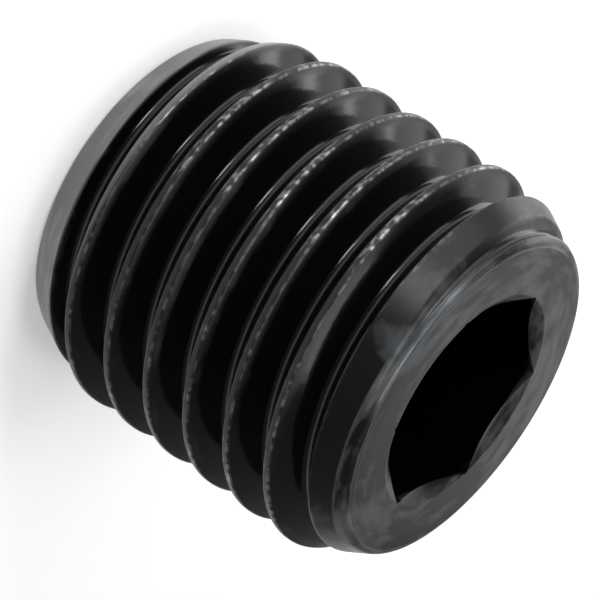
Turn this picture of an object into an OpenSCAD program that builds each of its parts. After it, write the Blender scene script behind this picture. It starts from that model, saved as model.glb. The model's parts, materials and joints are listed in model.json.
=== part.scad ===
// Headless drain plug: a turned steel blank with a coarse right-hand thread over its whole length
// and a hexagon socket in one end. It stands on its tip, with the socket upwards along +Z.

/* [Thread] */
// Outside diameter of the thread
major_d = 16; // [12:0.5:24]
// Distance from one crest to the next
pitch = 2; // [1.5:0.05:2.5]
// Angle between the two flanks of the groove
flank_angle = 60; // [55:1:65]
// Where the groove's lowest line meets the tip, round from +X
start_angle = 147; // [0:1:359]

/* [Body] */
// Length from the tip to the socket face
plug_length = 15.8; // [13:0.1:40]
// Length of the taper at the tip
tip_taper_length = 2.8; // [1.5:0.1:3.5]
// Length of the taper at the socket face
face_taper_length = 2.4; // [1.5:0.1:3.5]
// How far the rims of both ends lie inside the root of the thread
rim_inset = 0.03; // [0:0.01:0.3]
// Radius that breaks the edge of both rims
rim_radius = 0.35; // [0.2:0.05:0.6]

/* [Socket] */
// Width of the hexagon across its flats
socket_flats = 8; // [6:0.1:9]
// Depth of the hexagon below the face
socket_depth = 8; // [5:0.1:8.5]
// How far the countersink reaches outside the flats
countersink_width = 0.55; // [0.2:0.05:0.6]
// Full angle of the countersink
countersink_angle = 120; // [90:1:130]
// Stock left on each flat between the drilled hole and the hexagon
broach_stock = 0.1; // [0.05:0.05:0.4]
// Depth that the drill goes past the hexagon, where the broach's chips lie
chip_room = 1; // [0.5:0.1:1.5]
// Full angle of the drill's point
drill_point_angle = 118; // [116:1:140]

/* [Hidden] */

// The groove is a V with its top cut by the crest's flat and its bottom rounded.
sharp_depth = pitch / 2 / tan(flank_angle / 2);
crest_flat = pitch / 8;
root_radius = 0.1443 * pitch;
root_lift = root_radius / sin(flank_angle / 2) - root_radius;
crest_cut = crest_flat / 2 / tan(flank_angle / 2);
major_r = major_d / 2;
v_bottom_r = major_r + crest_cut - sharp_depth;
root_r = v_bottom_r + root_lift;

// The cutter stands proud of the crest by less than would make its turns meet.
cutter_over = 0.05 * pitch;
root_steps = 4;
turn_steps = 48;
end_turns = 1;

// The rims of the blank
rim_r = root_r - rim_inset;
rim_steps = 5;

// The socket
socket_r = socket_flats / 2;
hex_corner_r = socket_r / cos(30);
mouth_r = socket_r + countersink_width;
drill_r = socket_r - broach_stock;
drill_depth = socket_depth + chip_room;
// Cutters start this far outside the face
past_face = 1;

// Points round the broken edge of a rim, as [radius, depth below the end],
// from the flat of the end to a taper that leaves the axis at the given angle.
function rim_points(taper_angle) =
    let (setback = rim_radius * tan((90 - taper_angle) / 2))
    [for (i = [0 : rim_steps])
        let (turned = 90 - (90 - taper_angle) * i / rim_steps)
        [rim_r - setback + rim_radius * cos(turned), rim_radius * (1 - sin(turned))]];

// Outline of one groove across the thread, as [radius, height from its lowest line],
// down the lower flank, round the root and up the upper flank.
function groove_outline() =
    let (top_r = major_r + cutter_over)
    let (top_half = (top_r - v_bottom_r) * tan(flank_angle / 2))
    let (swing = 90 - flank_angle / 2)
    let (centre_r = root_r + root_radius)
    concat(
        [[top_r, -top_half]],
        [for (i = [0 : root_steps])
            let (a = -swing + 2 * swing * i / root_steps)
            [centre_r - root_radius * cos(a), root_radius * sin(a)]],
        [[top_r, top_half]]);

// The groove's cutter winds its outline round the axis, from below the tip to above the face.
module groove_cutter() {
    outline = groove_outline();
    sides = len(outline);
    steps = ceil((plug_length / pitch + 2 * end_turns) * turn_steps);
    points = [for (i = [0 : steps])
        let (turns = i / turn_steps - end_turns)
        let (a = start_angle + 360 * turns)
        for (p = outline) [p[0] * cos(a), p[0] * sin(a), p[1] + pitch * turns]];
    walls = [for (i = [0 : steps - 1]) for (j = [0 : sides - 1])
        let (k = (j + 1) % sides)
        let (low = i * sides)
        let (high = low + sides)
        for (face = [[low + j, high + j, low + k], [low + k, high + j, high + k]]) face];
    start_cap = [[for (j = [0 : sides - 1]) j]];
    end_cap = [[for (j = [sides - 1 : -1 : 0]) steps * sides + j]];
    polyhedron(points, concat(start_cap, walls, end_cap), convexity = 10);
}

// Turned blank with both ends tapered to just inside the root of the thread
module blank() {
    tip_points = rim_points(atan((major_r - rim_r) / tip_taper_length));
    face_points = rim_points(atan((major_r - rim_r) / face_taper_length));
    rotate_extrude($fn = 96)
        polygon(concat(
            [[0, 0]],
            tip_points,
            [[major_r, tip_taper_length], [major_r, plug_length - face_taper_length]],
            [for (i = [rim_steps : -1 : 0]) [face_points[i][0], plug_length - face_points[i][1]]],
            [[0, plug_length]]));
}

// Drilled hole, broached hexagon and countersunk mouth, measured down from the face.
// The mouth, the hole and the drill's point are turned in one piece, as each runs into the next.
module socket_cutter() {
    mouth_slope = tan(countersink_angle / 2);
    mouth_depth = (mouth_r - drill_r) / mouth_slope;
    point_depth = drill_depth + drill_r / tan(drill_point_angle / 2);
    rotate_extrude($fn = 96)
        polygon([
            [0, -point_depth],
            [drill_r, -drill_depth],
            [drill_r, -mouth_depth],
            [mouth_r + past_face * mouth_slope, past_face],
            [0, past_face]]);
    translate([0, 0, -socket_depth])
        cylinder(r = hex_corner_r, h = socket_depth + past_face, $fn = 6);
}

module plug() {
    color("#2b2d2e")
        difference() {
            blank();
            groove_cutter();
            translate([0, 0, plug_length])
                socket_cutter();
        }
}

plug();
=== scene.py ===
# %% [markdown]
# # A headless drain plug in black-oxide steel
#
# The real object is one piece: a steel bar turned to size, tapered at both ends, threaded over
# its whole length, with a hexagon broached into one end. Its finish is black oxide, a thin black
# layer that the steel grows in a hot salt bath, sealed with oil. This lesson builds its surface
# from a few formulas, gives it that finish, and lights it for a plain studio picture.
#
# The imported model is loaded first. It is the frame: every size below comes from it or is a size
# of the real part in millimetres, and nothing in it is moved.

# %% Load the frame
import json
import math

import bpy
import numpy as np
from mathutils import Matrix, Vector


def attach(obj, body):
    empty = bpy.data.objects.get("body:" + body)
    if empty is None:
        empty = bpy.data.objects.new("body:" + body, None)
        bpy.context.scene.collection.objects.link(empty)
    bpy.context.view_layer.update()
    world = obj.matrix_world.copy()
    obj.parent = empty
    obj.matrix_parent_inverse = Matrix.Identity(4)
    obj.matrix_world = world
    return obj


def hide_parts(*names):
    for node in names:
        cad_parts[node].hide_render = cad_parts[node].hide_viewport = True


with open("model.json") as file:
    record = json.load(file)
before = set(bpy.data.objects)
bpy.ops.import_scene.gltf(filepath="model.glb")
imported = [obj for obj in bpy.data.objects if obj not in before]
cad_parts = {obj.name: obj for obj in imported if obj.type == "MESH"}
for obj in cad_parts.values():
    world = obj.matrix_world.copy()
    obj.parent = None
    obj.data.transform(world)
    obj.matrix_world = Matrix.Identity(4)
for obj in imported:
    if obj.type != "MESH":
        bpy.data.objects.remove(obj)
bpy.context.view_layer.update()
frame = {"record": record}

MM = 0.001

# %% [markdown]
# ## The sizes
#
# The outside radius, the length and the hexagon's depth are stated by the frame's own mounts, so
# they are read from there. The rest are the standard proportions of a coarse metric thread, which
# all follow from its pitch, and the few sizes of the turned blank.
#
# The groove is a V whose bottom is filled by a circle that touches both flanks. In a V of 60
# degrees the circle's lowest point lies one radius of the circle above the V's own bottom.

# %% Sizes of the thread and the blank, in millimetres
MOUNTS = {mount["name"]: mount for mount in frame["record"]["mounts"]}
THREAD_R = MOUNTS["external_thread"]["dims"]["r_mm"]
LENGTH = MOUNTS["external_thread"]["dims"]["length_mm"]

PITCH = 2.0
START_ANGLE = math.radians(147)        # where round the axis a groove passes the tip's plane
HALF_THREAD_ANGLE = math.radians(30)
FLANK_SLOPE = 1 / math.tan(HALF_THREAD_ANGLE)
CREST_HALF = PITCH / 16                # half the width of a crest's flat land
ROOT_ROUND = 0.1443 * PITCH            # radius of the circle at the groove's bottom
V_BOTTOM_R = THREAD_R - (PITCH / 2 - CREST_HALF) * FLANK_SLOPE
ROOT_R = V_BOTTOM_R + ROOT_ROUND

TIP_TAPER = 2.8                        # lengths of the two tapers, along the axis
FACE_TAPER = 2.4
RIM_R = ROOT_R - 0.03                  # both tapers end just inside the groove's bottom
RIM_ROUND = 0.35                       # radius of the broken edge at both ends
print(f"root radius {ROOT_R:.3f} mm, rim radius {RIM_R:.3f} mm, {LENGTH / PITCH:.1f} turns")

# %% Sizes of the socket, in millimetres
SOCKET_DEPTH = MOUNTS["hexagon_drive"]["dims"]["length_mm"]
SOCKET_FLAT_R = 4.0                    # from the axis to a flat, for an 8 mm key
MOUTH_R = SOCKET_FLAT_R + 0.55         # the countersink's radius at the face
COUNTERSINK_HALF_ANGLE = math.radians(60)
DRILL_R = SOCKET_FLAT_R - 0.1          # the hole is drilled first, then the hexagon is broached
DRILL_DEPTH = SOCKET_DEPTH + 1.0
DRILL_HALF_ANGLE = math.radians(59)    # a twist drill's point is 118 degrees
DRILL_POINT = DRILL_R / math.tan(DRILL_HALF_ANGLE)
print(f"socket {SOCKET_DEPTH:.1f} mm deep, drill's point {DRILL_POINT:.2f} mm long")

# %% [markdown]
# ## The thread as a formula
#
# A thread can be modelled by sweeping its outline along a helix, which leaves the hard part, how
# it runs out into the tapers, to a boolean. Here the surface is a height field instead: for each
# angle round the axis and each height along it there is one radius. The groove gives one radius,
# the turned blank gives another, and the steel ends at the smaller of the two. The run-out then
# comes by itself.
#
# A real edge is never perfectly sharp, and its tiny rounding is what catches the light. So the two
# radii are joined by a soft minimum, which takes the corner off over a tenth of a millimetre.

# %% Radius of the groove, of the blank and of the finished surface
EDGE_SOFTNESS = 0.10


def soft_min(first, second, softness):
    """The smaller of two values, less a parabola where they differ by under the softness."""
    overlap = np.clip(1 - np.abs(first - second) / softness, 0, 1)
    return np.minimum(first, second) - overlap**2 * softness / 4


def groove_radius(angle, height):
    """Distance along the axis to the nearest groove's lowest line, climbed at the flank's slope.
    Near that line the flanks give way to a circle of the root's radius that touches both."""
    turns = height / PITCH - (angle - START_ANGLE) / (2 * math.pi)
    away = np.abs(turns - np.round(turns)) * PITCH
    flank = V_BOTTOM_R + away * FLANK_SLOPE
    inside_root = np.clip(away / ROOT_ROUND, 0, 1)
    root = ROOT_R + ROOT_ROUND * (1 - np.sqrt(1 - inside_root**2))
    return np.where(away < ROOT_ROUND * math.cos(HALF_THREAD_ANGLE), root, flank)


def blank_radius(height):
    """The least of three lines: the tip's taper, the full radius and the socket end's taper."""
    tip = RIM_R + height * (THREAD_R - RIM_R) / TIP_TAPER
    face = RIM_R + (LENGTH - height) * (THREAD_R - RIM_R) / FACE_TAPER
    return np.minimum(np.minimum(tip, face), THREAD_R)


print(f"groove {THREAD_R - groove_radius(START_ANGLE, 0.0):.3f} mm deep")

# %% [markdown]
# ## Rows and columns
#
# The grid has a column for every two degrees. In the threaded part its rows climb with the helix,
# so that every crest and every root lies along a row and stays crisp. A row that would leave the
# threaded part is held at its end, and the points that pile up there are welded into one ring.
#
# The broken edge of each rim, the face, the mouth, the hexagon's walls and the drilled bottom are
# rows of their own. One sheet then runs from the middle of the tip, over the thread, down into the
# socket and to the drill's point, with no seam.

# %% The grid's columns and the rows of the thread
COLUMNS = 180
ROOT_END, EDGE_START, EDGE_END = 0.125, 0.39, 0.47    # places within a pitch, from the groove
angles = np.arange(COLUMNS) * 2 * math.pi / COLUMNS


def pitch_steps():
    """Row places within one pitch, from one groove to the next, closer at the root and the edges:
    a rising half, and the same half turned round."""
    root = np.linspace(0, ROOT_END, 9)
    flank = np.linspace(ROOT_END, EDGE_START, 9)[1:]
    edge = np.linspace(EDGE_START, EDGE_END, 10)[1:]
    rising = np.concatenate([root, flank, edge, [0.5]])
    return np.concatenate([rising, 1 - rising[-2:0:-1]])


steps = pitch_steps()
first_turn = -1
last_turn = math.ceil(LENGTH / PITCH) + 1
places = (np.arange(first_turn, last_turn)[:, None] + steps[None, :]).ravel()
climb = (angles - START_ANGLE) / (2 * math.pi)
thread_z = PITCH * (places[:, None] + climb[None, :])
print(f"{len(steps)} rows to a pitch, {len(places)} rows in the thread")

# %% The broken edges of both rims
def rim_arc(taper_length):
    """Radius and depth below the end along the rim's broken edge: a circle that touches both the
    flat end and the taper, from the first to the second."""
    lean = math.atan((THREAD_R - RIM_R) / taper_length)
    setback = RIM_ROUND * math.tan((math.pi / 2 - lean) / 2)
    turned = np.linspace(math.pi / 2, lean, 9)
    radius = RIM_R - setback + RIM_ROUND * np.cos(turned)
    depth = RIM_ROUND * (1 - np.sin(turned))
    return radius, depth


tip_arc_r, tip_arc_depth = rim_arc(TIP_TAPER)
face_arc_r, face_arc_depth = rim_arc(FACE_TAPER)
thread_low = tip_arc_depth[-1]
thread_high = LENGTH - face_arc_depth[-1]
print(f"the thread's rows are held between {thread_low:.3f} and {thread_high:.3f} mm")

# %% [markdown]
# ## The hexagon
#
# Seen from above, a hexagon is also one radius for each angle: the distance to its flat divided by
# the cosine of the angle from that flat's middle. The countersunk mouth is a cone, and where the
# cone is wider than the hexagon it cuts the flats in shallow arcs. The hexagon's corners reach
# just past the cone, and stay.

# %% The socket's outline, and the rows of both ends
hex_r = SOCKET_FLAT_R / np.cos(np.mod(angles, math.pi / 3) - math.pi / 6)
mouth_drop = np.clip(MOUTH_R - hex_r, 0, None) / math.tan(COUNTERSINK_HALF_ANGLE)
mouth_edge = np.maximum(hex_r, MOUTH_R)
ones = np.ones(COLUMNS)
TIP_RINGS = (0.0, 3.0, 6.0)
EDGE_GUARD = 0.05      # a row this close to the mouth keeps the flat face's shading flat
FIRST_WALL_ROW = 0.6   # the hexagon's walls, below the deepest cut of the countersink
WALL_ROWS = 6


def ring(radius, height):
    """One row of the grid: a radius and a height for each column."""
    return radius * ones, height * ones


def cut_by_groove(radius, height):
    """A row of the blank where the groove may cut it, softened at their edge."""
    return soft_min(radius, groove_radius(angles, height), EDGE_SOFTNESS), height


tip_rows = [ring(radius, 0.0) for radius in TIP_RINGS]
tip_rows += [cut_by_groove(*ring(r, d)) for r, d in zip(tip_arc_r, tip_arc_depth)]
face_rows = [cut_by_groove(*ring(r, LENGTH - d))
             for r, d in zip(face_arc_r[::-1], face_arc_depth[::-1])]
face_rows += [ring(0.5 * (MOUTH_R + RIM_R), LENGTH)]
face_rows += [ring(mouth_edge + EDGE_GUARD, LENGTH), ring(mouth_edge, LENGTH)]
face_rows += [ring(hex_r, LENGTH - mouth_drop)]
face_rows += [ring(hex_r, LENGTH - depth)
              for depth in np.linspace(FIRST_WALL_ROW, SOCKET_DEPTH, WALL_ROWS)]
face_rows += [ring(DRILL_R, LENGTH - SOCKET_DEPTH), ring(DRILL_R, LENGTH - DRILL_DEPTH)]
face_rows += [ring(0.0, LENGTH - DRILL_DEPTH - DRILL_POINT)]
print(f"{len(tip_rows)} rows at the tip, {len(face_rows)} at the socket end; "
      f"the countersink cuts the flats {mouth_drop.max():.2f} mm down")

# %% [markdown]
# ## From grid to mesh
#
# Each cell of the grid is a four-sided face between two rows and two columns. Where the sheet
# closes on itself, a row of the thread meets the row one pitch higher. Welding is done on the
# numbers before the mesh exists: a point held at an end takes the number of the ring there, and a
# pole is one point. A face that has lost a corner is a triangle, and one that has lost two goes.

# %% Points
thread_r = soft_min(
    blank_radius(thread_z), groove_radius(angles[None, :], thread_z), EDGE_SOFTNESS)
rows_r = np.vstack([[r for r, z in tip_rows], thread_r, [r for r, z in face_rows]])
rows_z = np.vstack([[z for r, z in tip_rows], thread_z, [z for r, z in face_rows]])
points = np.stack([rows_r * np.cos(angles), rows_r * np.sin(angles), rows_z], axis=-1)
points = points.reshape(-1, 3)
print(f"{len(rows_r)} rows of {COLUMNS} points")

# %% Point numbers, welded at both ends of the thread and at both poles
row_count = len(rows_r)
thread_start = len(tip_rows)
thread_end = thread_start + len(places)
number = np.arange(row_count * COLUMNS).reshape(row_count, COLUMNS)
low_ring = number[thread_start - 1]
high_ring = number[thread_end]
thread_numbers = number[thread_start:thread_end]
thread_numbers = np.where(thread_z <= thread_low, low_ring, thread_numbers)
thread_numbers = np.where(thread_z >= thread_high, high_ring, thread_numbers)
number[thread_start:thread_end] = thread_numbers
number[0] = number[0, 0]
number[-1] = number[-1, 0]


def closing_column():
    """The first column again, with the thread's rows moved on by one pitch."""
    moved = np.arange(row_count)
    rows = np.arange(thread_start, thread_end)
    moved[rows] = np.minimum(rows + len(steps), thread_end)
    return number[moved, 0]


grid = np.concatenate([number, closing_column()[:, None]], axis=1)
print(f"{len(np.unique(grid))} points are left after welding")

# %% Faces, and the piece itself
SHARP_ANGLE = math.radians(32)     # real edges stay sharp, and a rounding's steps are smoothed


def faces_of(grid):
    """Four corners a cell, in order. A corner that repeats its neighbour is dropped, and so is a
    face that is left with under three."""
    quads = np.stack([grid[:-1, :-1], grid[:-1, 1:], grid[1:, 1:], grid[1:, :-1]], axis=-1)
    quads = quads.reshape(-1, 4)
    fresh = quads != np.roll(quads, 1, axis=1)
    corners = fresh.sum(axis=1)
    fours = quads[corners == 4]
    threes = quads[corners == 3][fresh[corners == 3]].reshape(-1, 3)
    return fours, threes


def make_mesh(name, points_mm, fours, threes):
    """A mesh in metres of the points that some face uses."""
    used, renumbered = np.unique(
        np.concatenate([fours.ravel(), threes.ravel()]), return_inverse=True)
    fours = renumbered[:fours.size].reshape(-1, 4)
    threes = renumbered[fours.size:].reshape(-1, 3)
    mesh = bpy.data.meshes.new(name)
    mesh.from_pydata((points_mm[used] * MM).tolist(), [], fours.tolist() + threes.tolist())
    mesh.validate()
    mesh.shade_smooth()
    mesh.set_sharp_from_angle(angle=SHARP_ANGLE)
    piece = bpy.data.objects.new(name, mesh)
    bpy.context.scene.collection.objects.link(piece)
    return piece


fours, threes = faces_of(grid)
plug = make_mesh("plug_skin", points, fours, threes)
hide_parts("plug")
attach(plug, "root")
print(f"plug: {len(fours)} four-sided faces and {len(threes)} triangles")

# %% [markdown]
# ## Black oxide on steel
#
# Black oxide is magnetite grown on the steel itself, sealed with a film of oil. The oxide drinks
# in light, so nearly all that the eye sees is the oil's gloss: a few hundredths of the light where
# the surface is looked at squarely, and far more where it is looked at along itself. That is why
# the grooves, where each flank mirrors the next, stay black, while the tapers and the far edges
# turn grey.
#
# The base is therefore dark and not a metal, with oil's low refractive index of about 1.4. Every
# node goes in through one small helper, and every colour through one function.

# %% Colours and a helper for the nodes
OILED_OXIDE = "#040505"
# dried oil and painted light: this grey is laid where the lamps light the plug
DRY_AND_LIT_GREY = "#575A5D"
# painted shade: the groove is made black and keeps no grey
GROOVE_SHADE_BLACK = "#030303"
BARE_STEEL = "#A3A5A6"
OIL_IOR = 1.40


def linear(hex_colour):
    """sRGB hex to linear: each channel by the standard curve, with alpha 1."""
    channels = [int(hex_colour[i:i + 2], 16) / 255 for i in (1, 3, 5)]
    return [c / 12.92 if c <= 0.04045 else ((c + 0.055) / 1.055)**2.4 for c in channels] + [1.0]


def add(tree, kind, inputs=None, **settings):
    """Adds a node, sets its own properties, and sets or links its inputs by name or number.
    A node given as an input is linked from its first output."""
    node = tree.nodes.new(kind)
    for key, value in settings.items():
        setattr(node, key, value)
    for key, value in (inputs or {}).items():
        if isinstance(value, bpy.types.Node):
            value = value.outputs[0]
        if isinstance(value, bpy.types.NodeSocket):
            tree.links.new(value, node.inputs[key])
        else:
            node.inputs[key].default_value = value
    return node


print("dry oxide, linear:", [round(channel, 3) for channel in linear(DRY_AND_LIT_GREY)])

# %% [markdown]
# ## Finding a place on the plug, in nodes
#
# The patterns need to know how far a point is from the axis, how deep it lies in the groove, and
# how near it is to the edge of a crest. The thread's own formula answers all three from the Object
# coordinates, so the patterns follow the helix exactly and have no seam.

# %% Depth below the blank, and the way across a crest
TAN_HALF_THREAD = math.tan(HALF_THREAD_ANGLE)
TIP_RISE = (THREAD_R - RIM_R) / TIP_TAPER       # how fast each taper's radius grows
FACE_RISE = (THREAD_R - RIM_R) / FACE_TAPER


def below_the_blank(tree, height, radius):
    """Two values in millimetres. The first is the way to the nearer end face. The second is how far
    the point lies inside the turned blank: the blank's radius at that height less the point's, or
    the way to the end where that is less, so both end faces count as outside."""
    tip_line = add(tree, "ShaderNodeMath", {
        0: height, 1: TIP_RISE, 2: RIM_R}, operation="MULTIPLY_ADD")
    face_line = add(tree, "ShaderNodeMath", {
        0: height, 1: -FACE_RISE, 2: RIM_R + FACE_RISE * LENGTH}, operation="MULTIPLY_ADD")
    tapers = add(tree, "ShaderNodeMath", {0: tip_line, 1: face_line}, operation="MINIMUM")
    blank = add(tree, "ShaderNodeMath", {0: tapers, 1: THREAD_R}, operation="MINIMUM")
    inwards = add(tree, "ShaderNodeMath", {0: blank, 1: radius}, operation="SUBTRACT")
    downwards = add(tree, "ShaderNodeMath", {0: LENGTH, 1: height}, operation="SUBTRACT")
    from_end = add(tree, "ShaderNodeMath", {0: height, 1: downwards}, operation="MINIMUM")
    depth = add(tree, "ShaderNodeMath", {0: inwards, 1: from_end}, operation="MINIMUM")
    return from_end, depth


def across_the_crest(tree, parts, height, radius):
    """Two values in millimetres. The first is the place along the axis within one pitch: nothing
    at the crest's middle, and more towards the socket. The second is how far inside the crest's
    edge that is: half the land's width at that radius, less the distance from its middle."""
    angle = add(tree, "ShaderNodeMath", {
        0: parts.outputs["Y"], 1: parts.outputs["X"]}, operation="ARCTAN2")
    turned = add(tree, "ShaderNodeMath", {
        0: angle, 1: -0.5 / math.pi, 2: START_ANGLE * 0.5 / math.pi}, operation="MULTIPLY_ADD")
    climbed = add(tree, "ShaderNodeMath", {
        0: height, 1: 1 / PITCH, 2: turned}, operation="MULTIPLY_ADD")
    within = add(tree, "ShaderNodeMath", {0: climbed}, operation="FRACT")
    across = add(tree, "ShaderNodeMath", {
        0: within, 1: PITCH, 2: -PITCH / 2}, operation="MULTIPLY_ADD")
    aside = add(tree, "ShaderNodeMath", {0: across}, operation="ABSOLUTE")
    half_land = add(tree, "ShaderNodeMath", {
        0: radius, 1: -TAN_HALF_THREAD, 2: THREAD_R * TAN_HALF_THREAD + CREST_HALF},
        operation="MULTIPLY_ADD")
    from_edge = add(tree, "ShaderNodeMath", {0: half_land, 1: aside}, operation="SUBTRACT")
    return across, from_edge


def thread_places(tree):
    """All the places by name: the point itself in metres, and in millimetres its height, its radius
    (the length of its part across the axis) and the four values of the two functions above."""
    place = add(tree, "ShaderNodeTexCoord").outputs["Object"]
    parts = add(tree, "ShaderNodeSeparateXYZ", {0: place})
    height = add(tree, "ShaderNodeMath", {0: parts.outputs["Z"], 1: 1 / MM}, operation="MULTIPLY")
    level = add(tree, "ShaderNodeVectorMath", {
        0: place, 1: (1 / MM, 1 / MM, 0.0)}, operation="MULTIPLY")
    radius = add(tree, "ShaderNodeVectorMath", {0: level}, operation="LENGTH").outputs["Value"]
    from_end, depth = below_the_blank(tree, height, radius)
    across, from_edge = across_the_crest(tree, parts, height, radius)
    return {"place": place, "height": height, "radius": radius, "from_end": from_end,
            "depth": depth, "across": across, "from_edge": from_edge}


print(f"tapers rise {TIP_RISE:.2f} and {FACE_RISE:.2f} mm in a millimetre")

# %% [markdown]
# ## A noise that runs round the axis
#
# A turned part is marked round its axis: the tool's fine lines, the oil that was wiped as it spun.
# A plain noise has round spots, so its place is stretched first. Round the axis the point walks on
# a circle of the plug's own size, which closes on itself, and across that it moves with the height
# plus the radius, so that flat faces and cylinders are both marked in rings.

# %% The stretched noise
def round_the_axis(tree, place, spot_mm, detail):
    """A noise whose spots are so long round the axis and so wide across that way. It is read at the
    point's direction from the axis, as a circle of the plug's size, plus its height and radius."""
    along_mm, across_mm = spot_mm
    level = add(tree, "ShaderNodeVectorMath", {0: place, 1: (1.0, 1.0, 0.0)}, operation="MULTIPLY")
    outwards = add(tree, "ShaderNodeVectorMath", {0: level}, operation="NORMALIZE")
    circle = add(tree, "ShaderNodeVectorMath", {
        0: outwards, "Scale": THREAD_R / along_mm}, operation="SCALE")
    radius = add(tree, "ShaderNodeVectorMath", {0: level}, operation="LENGTH").outputs["Value"]
    height = add(tree, "ShaderNodeSeparateXYZ", {0: place}).outputs["Z"]
    profile = add(tree, "ShaderNodeMath", {0: height, 1: radius}, operation="ADD")
    profile = add(tree, "ShaderNodeMath", {
        0: profile, 1: 1 / (across_mm * MM)}, operation="MULTIPLY")
    lift = add(tree, "ShaderNodeCombineXYZ", {"Z": profile})
    where = add(tree, "ShaderNodeVectorMath", {0: circle, 1: lift}, operation="ADD")
    return add(tree, "ShaderNodeTexNoise", {"Vector": where, "Scale": 1.0, "Detail": detail})


print(f"the circle that the noise walks on is {2 * math.pi * THREAD_R:.1f} mm round")

# %% [markdown]
# ## Where the oxide is rubbed, and where highlights are painted
#
# A plug is driven, boxed and handled, and only its highest places touch anything: the crests and
# their edges, the tip, which meets each hole first, and the rim that it is set down on. There the
# oxide is rubbed thin and steel begins to show. The same marks also carry painted light.
#
# Along each crest that is a line of uneven width with bright beads, laid towards the crest's
# socket-side edge, where the light catches it. It is made stronger in bands that run along the
# axis, placed where the crests face the lamps: a painted highlight. The tip's taper has an even
# grey sheen, a painted reflection as well as wear, and the other rim a thin broken line, a painted
# highlight of its rounded edge as well as wear. Nothing is laid in the grooves. Most values of a
# noise lie near a half, so Map Range opens out the middle of its range.

# %% Rubbed crests, and their painted highlight
# The bands are a painted highlight: their size and seed put them where the crests face the lamps.
BAND_MM = 5.0                 # width of the bands
BAND_STRETCH = 0.06           # the height counts this little, so a band is far longer than wide
BAND_SEED = 14.5
LINE_SPOT_MM = (0.9, 1.6)     # how often the line's width changes
LINE_LEAST_MM, LINE_MOST_MM = 0.03, 0.22
BEAD_MM = (0.34, 0.16)


def highlight_bands(tree, at):
    """From a little to one: bands along the axis, placed where the crests face the lamps, a painted
    highlight.
    """
    level = add(tree, "ShaderNodeVectorMath", {
        0: at["place"], 1: (1.0, 1.0, BAND_STRETCH)}, operation="MULTIPLY")
    bands = add(tree, "ShaderNodeTexNoise", {
        "Vector": level, "W": BAND_SEED, "Scale": 1 / (BAND_MM * MM), "Detail": 1.0},
        noise_dimensions="4D")
    return add(tree, "ShaderNodeMapRange", {
        "Value": bands, "From Min": 0.40, "From Max": 0.60, "To Min": 0.12, "To Max": 1.0})


def worn_and_highlit_crests(tree, at):
    """From nothing to one along the crests: a line from the crest's edge inwards, as wide as one
    noise says and as bright as a finer one says, both more in the bands of painted highlight. It is
    rubbed steel and painted highlight in one. The product of five shares keeps it on the land, near
    the top, to the socket's side and off the tapers."""
    lit_bands = highlight_bands(tree, at)
    wander = round_the_axis(tree, at["place"], LINE_SPOT_MM, 2.0)
    width = add(tree, "ShaderNodeMapRange", {
        "Value": wander, "From Min": 0.35, "From Max": 0.68,
        "To Min": LINE_LEAST_MM, "To Max": LINE_MOST_MM})
    width = add(tree, "ShaderNodeMath", {0: width, 1: lit_bands}, operation="MULTIPLY")
    spare = add(tree, "ShaderNodeMath", {0: width, 1: at["from_edge"]}, operation="SUBTRACT")
    on_land = add(tree, "ShaderNodeMapRange", {
        "Value": spare, "From Min": -0.04, "From Max": 0.03})
    near_top = add(tree, "ShaderNodeMapRange", {
        "Value": at["depth"], "From Min": 0.02, "From Max": 0.08, "To Min": 1.0, "To Max": 0.0})
    socket_side = add(tree, "ShaderNodeMapRange", {
        "Value": at["across"], "From Min": -0.14, "From Max": 0.02, "To Min": 0.25, "To Max": 1.0})
    full_size = add(tree, "ShaderNodeMapRange", {
        "Value": at["radius"], "From Min": 7.2, "From Max": 7.6})
    level = add(tree, "ShaderNodeMapRange", {"Value": lit_bands, "To Min": 0.55, "To Max": 1.0})
    beads = round_the_axis(tree, at["place"], BEAD_MM, 1.0)
    worn_and_lit = add(tree, "ShaderNodeMapRange", {
        "Value": beads, "From Min": 0.42, "From Max": 0.66, "To Min": 0.06, "To Max": 0.90})
    for share in (on_land, near_top, socket_side, full_size, level):
        worn_and_lit = add(tree, "ShaderNodeMath", {0: worn_and_lit, 1: share}, operation="MULTIPLY")
    return worn_and_lit


print(f"rubbed line {LINE_LEAST_MM} to {LINE_MOST_MM} mm wide, beads {BEAD_MM[0]} mm long")

# %% Rubbed ends, with a painted reflection and a painted highlight
TIP_SHEEN_MM = (2.3, 2.9)          # heights between which the tip's sheen fades out
RIM_SPOT_MM = (2.6, 0.16)
RIM_LINE_MM = (0.205, 0.235)       # the broken edge's middle is this near the square corner


def tip_wear_and_reflection(tree, at, dry_and_lit):
    """A share that ends at the top of the tip's taper, most where the dry grey lies, and none in
    the groove. Its grey sheen is a painted reflection of the bright room as well as wear."""
    low = add(tree, "ShaderNodeMapRange", {
        "Value": at["height"], "From Min": TIP_SHEEN_MM[0], "From Max": TIP_SHEEN_MM[1],
        "To Min": 1.0, "To Max": 0.0})
    outside = add(tree, "ShaderNodeMapRange", {
        "Value": at["depth"], "From Min": 0.02, "From Max": 0.12, "To Min": 1.0, "To Max": 0.0})
    share = add(tree, "ShaderNodeMapRange", {"Value": dry_and_lit, "To Min": 0.52, "To Max": 0.70})
    worn_and_lit = add(tree, "ShaderNodeMath", {0: low, 1: outside}, operation="MULTIPLY")
    return add(tree, "ShaderNodeMath", {0: worn_and_lit, 1: share}, operation="MULTIPLY")


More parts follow.
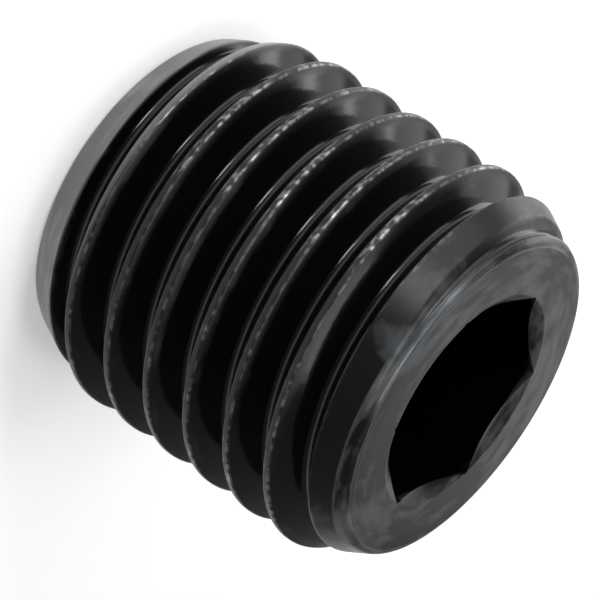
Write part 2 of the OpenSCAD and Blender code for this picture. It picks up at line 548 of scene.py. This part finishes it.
def rim_wear_and_highlight(tree, at):
    """A thin uneven line on the broken edge of the socket's end, where it is set down on its face:
    wear, and a painted highlight of that rounded edge. The depth below the face plus the distance
    inside the rim is least at the edge's middle."""
    below = add(tree, "ShaderNodeMath", {0: LENGTH, 1: at["height"]}, operation="SUBTRACT")
    inwards = add(tree, "ShaderNodeMath", {0: RIM_R, 1: at["radius"]}, operation="SUBTRACT")
    corner = add(tree, "ShaderNodeMath", {0: below, 1: inwards}, operation="ADD")
    near = add(tree, "ShaderNodeMapRange", {
        "Value": corner, "From Min": RIM_LINE_MM[0], "From Max": RIM_LINE_MM[1],
        "To Min": 1.0, "To Max": 0.0})
    wander = round_the_axis(tree, at["place"], RIM_SPOT_MM, 3.0)
    some = add(tree, "ShaderNodeMapRange", {
        "Value": wander, "From Min": 0.40, "From Max": 0.64, "To Max": 0.36})
    return add(tree, "ShaderNodeMath", {0: near, 1: some}, operation="MULTIPLY")


print(f"the tip's sheen fades between {TIP_SHEEN_MM[0]} and {TIP_SHEEN_MM[1]} mm up")

# %% [markdown]
# ## Oil, where it has dried, and painted light in the grey
#
# The oil doesn't lie evenly. It is smeared round the axis as the plug was turned and wiped, and
# it stands in pools a few millimetres across. Under the oil the oxide is black. Where the film has
# dried it is a dull dark grey with a soft sheen, as pencil lead has, and that makes the mottling
# of the flat faces. The grey also carries painted light. The tapers are given less of it than the
# faces, which is painted shade, and on the crests, where the oxide is either rubbed or still
# black, no grey is laid, which is painted shade as well.
#
# One noise stretched round the axis gives the smears, a round one the pools, and their sum says
# how grey a place is. The seeds choose where the pools and bands fall on the plug, and were chosen
# so that the grey and the bright crest lines fall where the lamps light the plug: painted light.

# %% How grey each place is: dried oil and painted light
SMEAR_MM = (2.1, 0.6)
POOL_MM = 1000 / 190           # about 5 mm from one pool to the next
# the pools' seed puts the grey where the lamps light the plug: painted light
POOL_SEED = 0.4
TAPER_SHADE_MM = (0.1, 0.5)          # the tapers' painted shade fades in between these depths under an end face
TAPER_SHADE = -0.12               # painted shade: what is taken off the grey on the tapers
CREST_SHADE_MM = (7.75, 7.95)    # radii between which the grey fades out, a painted shade on the crests


def dry_and_lit_oxide(tree, at):
    """From nothing to one: how much dry grey a place has, with painted light in it. Smears plus
    pools, less a painted shade on the tapers, and less towards the crests, a painted shade as well."""
    smears = round_the_axis(tree, at["place"], SMEAR_MM, 4.0)
    pools = add(tree, "ShaderNodeTexNoise", {
        "Vector": at["place"], "W": POOL_SEED, "Scale": 1 / (POOL_MM * MM), "Detail": 2.0},
        noise_dimensions="4D")
    pooled = add(tree, "ShaderNodeMapRange", {
        "Value": pools, "From Min": 0.38, "From Max": 0.62, "To Min": -0.19, "To Max": 0.07})
    taper_shade = add(tree, "ShaderNodeMapRange", {
        "Value": at["from_end"], "From Min": TAPER_SHADE_MM[0], "From Max": TAPER_SHADE_MM[1],
        "To Min": 0.0, "To Max": TAPER_SHADE})
    smeared = add(tree, "ShaderNodeMath", {0: smears, 1: pooled}, operation="ADD")
    smeared = add(tree, "ShaderNodeMath", {0: smeared, 1: taper_shade}, operation="ADD")
    dry_and_lit = add(tree, "ShaderNodeMapRange", {"Value": smeared, "From Min": 0.37, "From Max": 0.61})
    off_crest = add(tree, "ShaderNodeMapRange", {
        "Value": at["radius"], "From Min": CREST_SHADE_MM[0], "From Max": CREST_SHADE_MM[1],
        "To Min": 1.0, "To Max": 0.0})
    return add(tree, "ShaderNodeMath", {0: dry_and_lit, 1: off_crest}, operation="MULTIPLY")


print(f"smears {SMEAR_MM[0]} by {SMEAR_MM[1]} mm, pools {POOL_MM:.1f} mm apart")

# %% [markdown]
# ## The finish put together
#
# One material carries all of it. Colour goes from oiled black to the dry grey, which is partly
# painted light, then to black in the groove, which is painted shade, then to steel where it is
# rubbed or a highlight is painted. Metallic does the same: dry oxide is partly metallic, which
# gives it a sheen of its own dark grey, and rubbed steel is more so. The index of refraction is
# the oil's, and the metallic part of the surface doesn't read it.
#
# Roughness is what parts them to the eye. The groove is smooth with standing oil and gives sharp
# thin lines of light, the outside is matt, and the rubbed steel lies between. Two reliefs are
# added as bump: the tool's marks round the axis, and the grain of the oxide. Its real crystals are
# under a hundredth of a millimetre, far too fine to show, so they are drawn a seventh of a
# millimetre apart.

# %% The material
MARK_MM = (5.0, 0.09)
GRAIN_MM = 1 / 7
GROOVE_MM = (0.05, 0.35)             # depths between which a flank turns into groove
DRY_OXIDE_METALLIC = 0.66
OILED_ROUGH, DRY_ROUGH = 0.36, 0.40
GROOVE_ROUGH, STEEL_ROUGH = 0.14, 0.22
BUMP_STRENGTH, BUMP_MM = 0.2, 0.02


def oxide_relief(tree, at):
    """Half turning marks and half grain, as a bump."""
    marks = round_the_axis(tree, at["place"], MARK_MM, 1.0)
    grain = add(tree, "ShaderNodeTexNoise", {
        "Vector": at["place"], "Scale": 1 / (GRAIN_MM * MM), "Detail": 2.0})
    height = add(tree, "ShaderNodeMix", {0: 0.5, 2: marks, 3: grain})
    return add(tree, "ShaderNodeBump", {
        "Height": height, "Strength": BUMP_STRENGTH, "Distance": BUMP_MM * MM})


def black_oxide_steel():
    """Black oxide under oil: dark, smeared round the axis, rubbed towards steel at high places,
    with painted light and shade in its grey, its groove black and its steel lines.
    """
    material = bpy.data.materials.new("black_oxide_on_turned_steel")
    material.use_nodes = True
    tree = material.node_tree
    tree.nodes.clear()
    at = thread_places(tree)
    dry_and_lit = dry_and_lit_oxide(tree, at)
    in_groove = add(tree, "ShaderNodeMapRange", {
        "Value": at["depth"], "From Min": GROOVE_MM[0], "From Max": GROOVE_MM[1]})
    ends = add(tree, "ShaderNodeMath", {
        0: tip_wear_and_reflection(tree, at, dry_and_lit), 1: rim_wear_and_highlight(tree, at)}, operation="MAXIMUM")
    worn_and_lit = add(tree, "ShaderNodeMath", {
        0: worn_and_highlit_crests(tree, at), 1: ends}, operation="MAXIMUM")

    outside = add(tree, "ShaderNodeMix", {
        "Factor": dry_and_lit, "A": linear(OILED_OXIDE), "B": linear(DRY_AND_LIT_GREY)},
        data_type="RGBA").outputs[2]
    # Painted shade: in the groove the colour goes to black.
    oxide = add(tree, "ShaderNodeMix", {
        "Factor": in_groove, "A": outside, "B": linear(GROOVE_SHADE_BLACK)},
        data_type="RGBA").outputs[2]
    colour = add(tree, "ShaderNodeMix", {
        "Factor": worn_and_lit, "A": oxide, "B": linear(BARE_STEEL)}, data_type="RGBA").outputs[2]

    # Painted shade: in the groove the grey's sheen is taken off.
    sheen = add(tree, "ShaderNodeMix", {0: in_groove, 2: dry_and_lit, 3: 0.0})
    sheen = add(tree, "ShaderNodeMath", {0: sheen, 1: DRY_OXIDE_METALLIC}, operation="MULTIPLY")
    metallic = add(tree, "ShaderNodeMath", {0: sheen, 1: worn_and_lit}, operation="MAXIMUM")

    outside_rough = add(tree, "ShaderNodeMapRange", {
        "Value": dry_and_lit, "To Min": OILED_ROUGH, "To Max": DRY_ROUGH})
    rough = add(tree, "ShaderNodeMix", {0: in_groove, 2: outside_rough, 3: GROOVE_ROUGH})
    rough = add(tree, "ShaderNodeMix", {0: worn_and_lit, 2: rough, 3: STEEL_ROUGH})

    surface = add(tree, "ShaderNodeBsdfPrincipled", {
        "Base Color": colour, "Metallic": metallic, "Roughness": rough, "IOR": OIL_IOR,
        "Normal": oxide_relief(tree, at)})
    add(tree, "ShaderNodeOutputMaterial", {"Surface": surface})
    return material


plug.data.materials.append(black_oxide_steel())
print(f"material: {plug.data.materials[0].name}, "
      f"{len(plug.data.materials[0].node_tree.nodes)} nodes")

# %% [markdown]
# ## The floor
#
# The plug stands on its tip on white paper. The paper must look plain white and still keep the
# plug's shadow, with no more light on the plug for it. So it gives off a little light of its own,
# but only to the rays that see it directly: from the camera, off a gloss, or through glass.
#
# The disc lies a fiftieth of a millimetre low. The tip is flat, and two flat faces at one height
# flicker into each other.

# %% White paper
PAPER_WHITE = "#F2F2F2"
PAPER_LIFT = 0.40
PAPER_GAP_MM = 0.02
FLOOR_R_MM = 600.0
FLOOR_SIDES = 96


def seen_directly(tree):
    """One for camera, glossy and transmission rays, nothing for the rest."""
    rays = add(tree, "ShaderNodeLightPath")
    either = add(tree, "ShaderNodeMath", {
        0: rays.outputs["Is Camera Ray"], 1: rays.outputs["Is Glossy Ray"]}, operation="MAXIMUM")
    return add(tree, "ShaderNodeMath", {
        0: either, 1: rays.outputs["Is Transmission Ray"]}, operation="MAXIMUM")


def white_paper():
    """Matt white paper, plus its own light times one or nothing by the kind of ray."""
    material = bpy.data.materials.new("white_studio_paper")
    material.use_nodes = True
    tree = material.node_tree
    tree.nodes.clear()
    paper = add(tree, "ShaderNodeBsdfDiffuse", {"Color": linear(PAPER_WHITE)})
    glow = add(tree, "ShaderNodeMath", {
        0: seen_directly(tree), 1: PAPER_LIFT}, operation="MULTIPLY")
    shine = add(tree, "ShaderNodeEmission", {"Color": (1, 1, 1, 1), "Strength": glow})
    both = add(tree, "ShaderNodeAddShader", {0: paper, 1: shine})
    add(tree, "ShaderNodeOutputMaterial", {"Surface": both})
    return material


def round_floor():
    """A flat disc: points at equal angles round a circle, one face."""
    turn = np.arange(FLOOR_SIDES) * 2 * math.pi / FLOOR_SIDES
    rim = np.stack([FLOOR_R_MM * np.cos(turn), FLOOR_R_MM * np.sin(turn),
                    np.full(FLOOR_SIDES, -PAPER_GAP_MM)], axis=-1)
    mesh = bpy.data.meshes.new("studio_floor")
    mesh.from_pydata((rim * MM).tolist(), [], [list(range(FLOOR_SIDES))])
    mesh.materials.append(white_paper())
    floor = bpy.data.objects.new("studio_floor", mesh)
    bpy.context.scene.collection.objects.link(floor)
    return floor


round_floor()
print(f"floor: a disc {2 * FLOOR_R_MM:.0f} mm across, {PAPER_GAP_MM} mm under the tip")

# %% [markdown]
# ## The room and the lamps
#
# A black glossy part shows the lamps more than it shows itself: what the eye reads as its shape is
# softboxes mirrored in tapers, crests and flanks. So the room is dim and even, and each lamp is
# placed for what mirrors it. Between the lamps the surface falls back to black.
#
# The key, wide and low, runs along the crests. A small strong one at the corner of the key gives
# the crests their brightest stretch. One on the far side fills the flat face, one beside it puts a
# grey lobe on each flank at the thread's edge, and one from above lights the tapers and the floor.

# %% An even dim room
ROOM_LEVEL = 0.2


def white_room():
    """Plain white light of one strength from all sides."""
    world = bpy.data.worlds.new("white_room")
    bpy.context.scene.world = world
    world.use_nodes = True
    tree = world.node_tree
    tree.nodes.clear()
    sky = add(tree, "ShaderNodeBackground", {"Color": (1, 1, 1, 1), "Strength": ROOM_LEVEL})
    add(tree, "ShaderNodeOutputWorld", {"Surface": sky})


white_room()
print(f"room of strength {ROOM_LEVEL}")

# %% Five softboxes
MIDDLE = (0, 0, LENGTH / 2)

# angle round the axis from +X, distance from it, height, width and height of the lamp, in degrees
# and millimetres, and its brightness, where 1 is the white of the picture
SOFTBOXES = {
    "key_softbox": (24, 110, 46, (110, 60), 2.1),
    "corner_softbox": (52, 110, 66, (26, 40), 11.0),
    "back_softbox": (-68, 110, 58, (110, 60), 0.84),
    "side_softbox": (-36, 110, 36, (44, 70), 2.9),
    "top_softbox": (60, 20, 150, (100, 100), 3.0),
}


def softbox(name, turn_deg, away_mm, height_mm, size_mm, brightness):
    """An area lamp turned towards the plug's middle. Its power is its brightness times its area
    times pi. The camera doesn't see it, so it may stand between the two."""
    turn = math.radians(turn_deg)
    place = Vector((away_mm * math.cos(turn), away_mm * math.sin(turn), height_mm))
    light = bpy.data.lights.new(name, "AREA")
    light.shape = "RECTANGLE"
    light.size, light.size_y = size_mm[0] * MM, size_mm[1] * MM
    light.energy = brightness * math.pi * light.size * light.size_y
    lamp = bpy.data.objects.new(name, light)
    lamp.location = place * MM
    lamp.rotation_mode = "QUATERNION"
    lamp.rotation_quaternion = (place - Vector(MIDDLE)).to_track_quat("Z", "Y")
    lamp.visible_camera = False
    bpy.context.scene.collection.objects.link(lamp)
    return lamp


lamps = [softbox(name, *settings) for name, settings in SOFTBOXES.items()]
for lamp in lamps:
    print(f"{lamp.name}: {lamp.data.energy * 1000:.1f} mW")

# %% [markdown]
# ## The camera
#
# The camera looks at the socket end from a little above, and it is rolled, so that the plug's axis
# runs down to the right of the view. So it is set by the plug's own directions as they lie in the
# view. The axis leans towards the viewer by one angle and points below the horizontal by another,
# and +X lies flat in the view. The three directions make the camera's turn, and a long lens stands
# far off. The lens follows from how many pixels a millimetre at the plug's middle takes. The
# Standard view shows each colour about as it was written.

# %% Camera
AXIS_LEAN = math.radians(25.74)
AXIS_DROP = math.radians(34.01)
CAMERA_AWAY = 129.7               # mm from the plug's middle
PIXELS_PER_MM = 26.28
VIEW_SIDE = 600                   # pixels
MIDDLE_IN_VIEW = (306.97, 293.13)
SENSOR = 36.0
NEAREST_SEEN, FARTHEST_SEEN = 0.01, 5.0    # metres


def picture_camera():
    """Rows of the turn are the camera's right, up and back, each told in the plug's directions."""
    axis = Vector((math.cos(AXIS_LEAN) * math.cos(AXIS_DROP),
                   -math.cos(AXIS_LEAN) * math.sin(AXIS_DROP), math.sin(AXIS_LEAN)))
    across = Vector((math.sin(AXIS_DROP), math.cos(AXIS_DROP), 0.0))
    third = axis.cross(across)
    turn = Matrix((across, third, axis))
    camera = bpy.data.cameras.new("picture_camera")
    camera.sensor_width = SENSOR
    camera.lens = SENSOR * PIXELS_PER_MM * CAMERA_AWAY / VIEW_SIDE
    camera.shift_x = -(MIDDLE_IN_VIEW[0] - VIEW_SIDE / 2) / VIEW_SIDE
    camera.shift_y = (MIDDLE_IN_VIEW[1] - VIEW_SIDE / 2) / VIEW_SIDE
    camera.clip_start, camera.clip_end = NEAREST_SEEN, FARTHEST_SEEN
    seen_from = bpy.data.objects.new("picture_camera", camera)
    back = turn.col[2]
    seen_from.matrix_world = (
        Matrix.Translation(Vector(MIDDLE) * MM + back * CAMERA_AWAY * MM) @ turn.to_4x4())
    bpy.context.scene.collection.objects.link(seen_from)
    bpy.context.scene.camera = seen_from
    return seen_from


camera = picture_camera()
bpy.context.scene.view_settings.view_transform = "Standard"
print(f"lens {camera.data.lens:.0f} mm, camera at {[round(v / MM) for v in camera.location]} mm")
